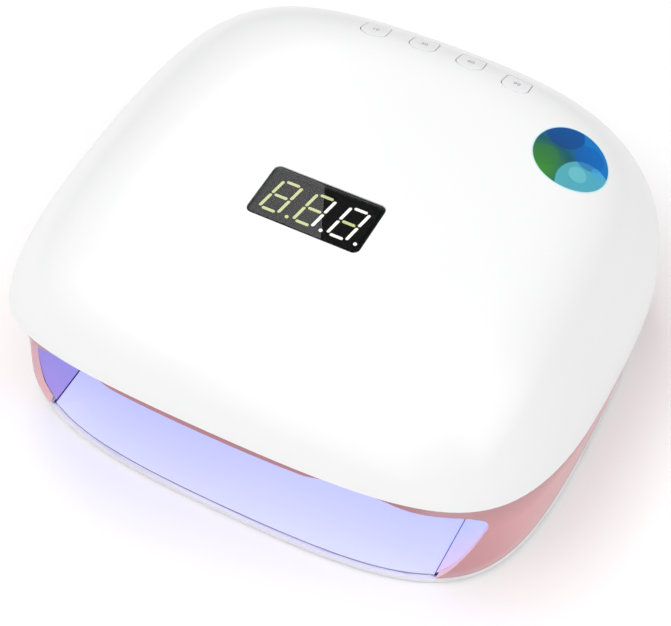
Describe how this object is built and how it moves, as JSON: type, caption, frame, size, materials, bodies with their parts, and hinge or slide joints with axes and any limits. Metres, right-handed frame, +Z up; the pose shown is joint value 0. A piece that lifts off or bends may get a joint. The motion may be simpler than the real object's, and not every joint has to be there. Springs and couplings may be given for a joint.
{
  "type": "nail lamp",
  "caption": "Domed rounded-square nail lamp with a wide hand opening under a visor, a display window in its crown, a row of timer buttons on the rear slope and a lift-off base.",
  "frame": {"origin": "middle of the whole lamp's box in plan, on the table under its feet", "axes": "+X to the user's right, +Y from the hand opening to the rear, +Z up"},
  "size_m": [0.222, 0.1995, 0.0957],
  "materials": {
    "shell_white": "glossy white moulded shell",
    "housing_rose": "glossy rose moulded housing",
    "base_white": "glossy white moulded base",
    "liner_silver": "bright reflecting liner",
    "reflector": "polished reflecting sheet",
    "foot_rubber": "soft dark rubber",
    "plate_steel": "plain steel",
    "magnet": "nickel-plated magnet",
    "window_black": "glossy smoked window",
    "module_black": "matt black module",
    "segment_lit": "lit segment",
    "board_green": "green circuit board",
    "board_white": "white circuit board",
    "chip": "moulded electronic parts",
    "emitter": "clear lens over a pale chip",
    "sensor": "dark clear lens",
    "cap_white": "glossy white cap",
    "switch_body": "matt black switch body",
    "plunger": "matt plunger",
    "jack": "matt black inlet",
    "pin_metal": "plated contact pin",
    "screw_steel": "zinc-plated steel"
  },
  "bodies": {
    "base": {"base_plate": "base_white", "floor_reflector": "reflector", "rubber_feet": "foot_rubber", "steel_plates": "plate_steel"},
    "lamp": {"top_shell": "shell_white", "lower_housing": "housing_rose", "chamber_liner": "liner_silver", "housing_magnets": "magnet", "led_beads_ceiling": "emitter", "led_beads_rear": "emitter", "led_beads_left": "emitter", "led_beads_right": "emitter", "hand_sensor_emitter": "sensor", "hand_sensor_receiver": "sensor", "shell_screws": "screw_steel", "display_window": "window_black", "display_module": "module_black", "display_segments": "segment_lit", "main_board": "board_green", "main_board_parts": "chip", "led_board_ceiling": "board_white", "led_board_rear": "board_white", "led_board_left": "board_white", "led_board_right": "board_white", "button_board": "board_green", "switch_bodies": "switch_body", "dc_jack": "jack", "dc_jack_pin": "pin_metal"},
    "button_1": {"timer_button_1": "cap_white", "switch_plunger_1": "plunger"},
    "button_2": {"timer_button_2": "cap_white", "switch_plunger_2": "plunger"},
    "button_3": {"timer_button_3": "cap_white", "switch_plunger_3": "plunger"},
    "button_4": {"timer_button_4": "cap_white", "switch_plunger_4": "plunger"}
  },
  "joints": [
    {"name": "lift_off", "type": "slide", "parent": "base", "child": "lamp", "axis": [0, 0, 1], "range_m": [0, 0.06]},
    {"name": "press_1", "type": "slide", "parent": "lamp", "child": "button_1", "axis": [0, -0.3584, -0.9336], "range_m": [0, 0.0005], "stiffness_N_per_m": 2000},
    {"name": "press_2", "type": "slide", "parent": "lamp", "child": "button_2", "axis": [0, -0.3584, -0.9336], "range_m": [0, 0.0005], "stiffness_N_per_m": 2000},
    {"name": "press_3", "type": "slide", "parent": "lamp", "child": "button_3", "axis": [0, -0.3584, -0.9336], "range_m": [0, 0.0005], "stiffness_N_per_m": 2000},
    {"name": "press_4", "type": "slide", "parent": "lamp", "child": "button_4", "axis": [0, -0.3584, -0.9336], "range_m": [0, 0.0005], "stiffness_N_per_m": 2000}
  ]
}
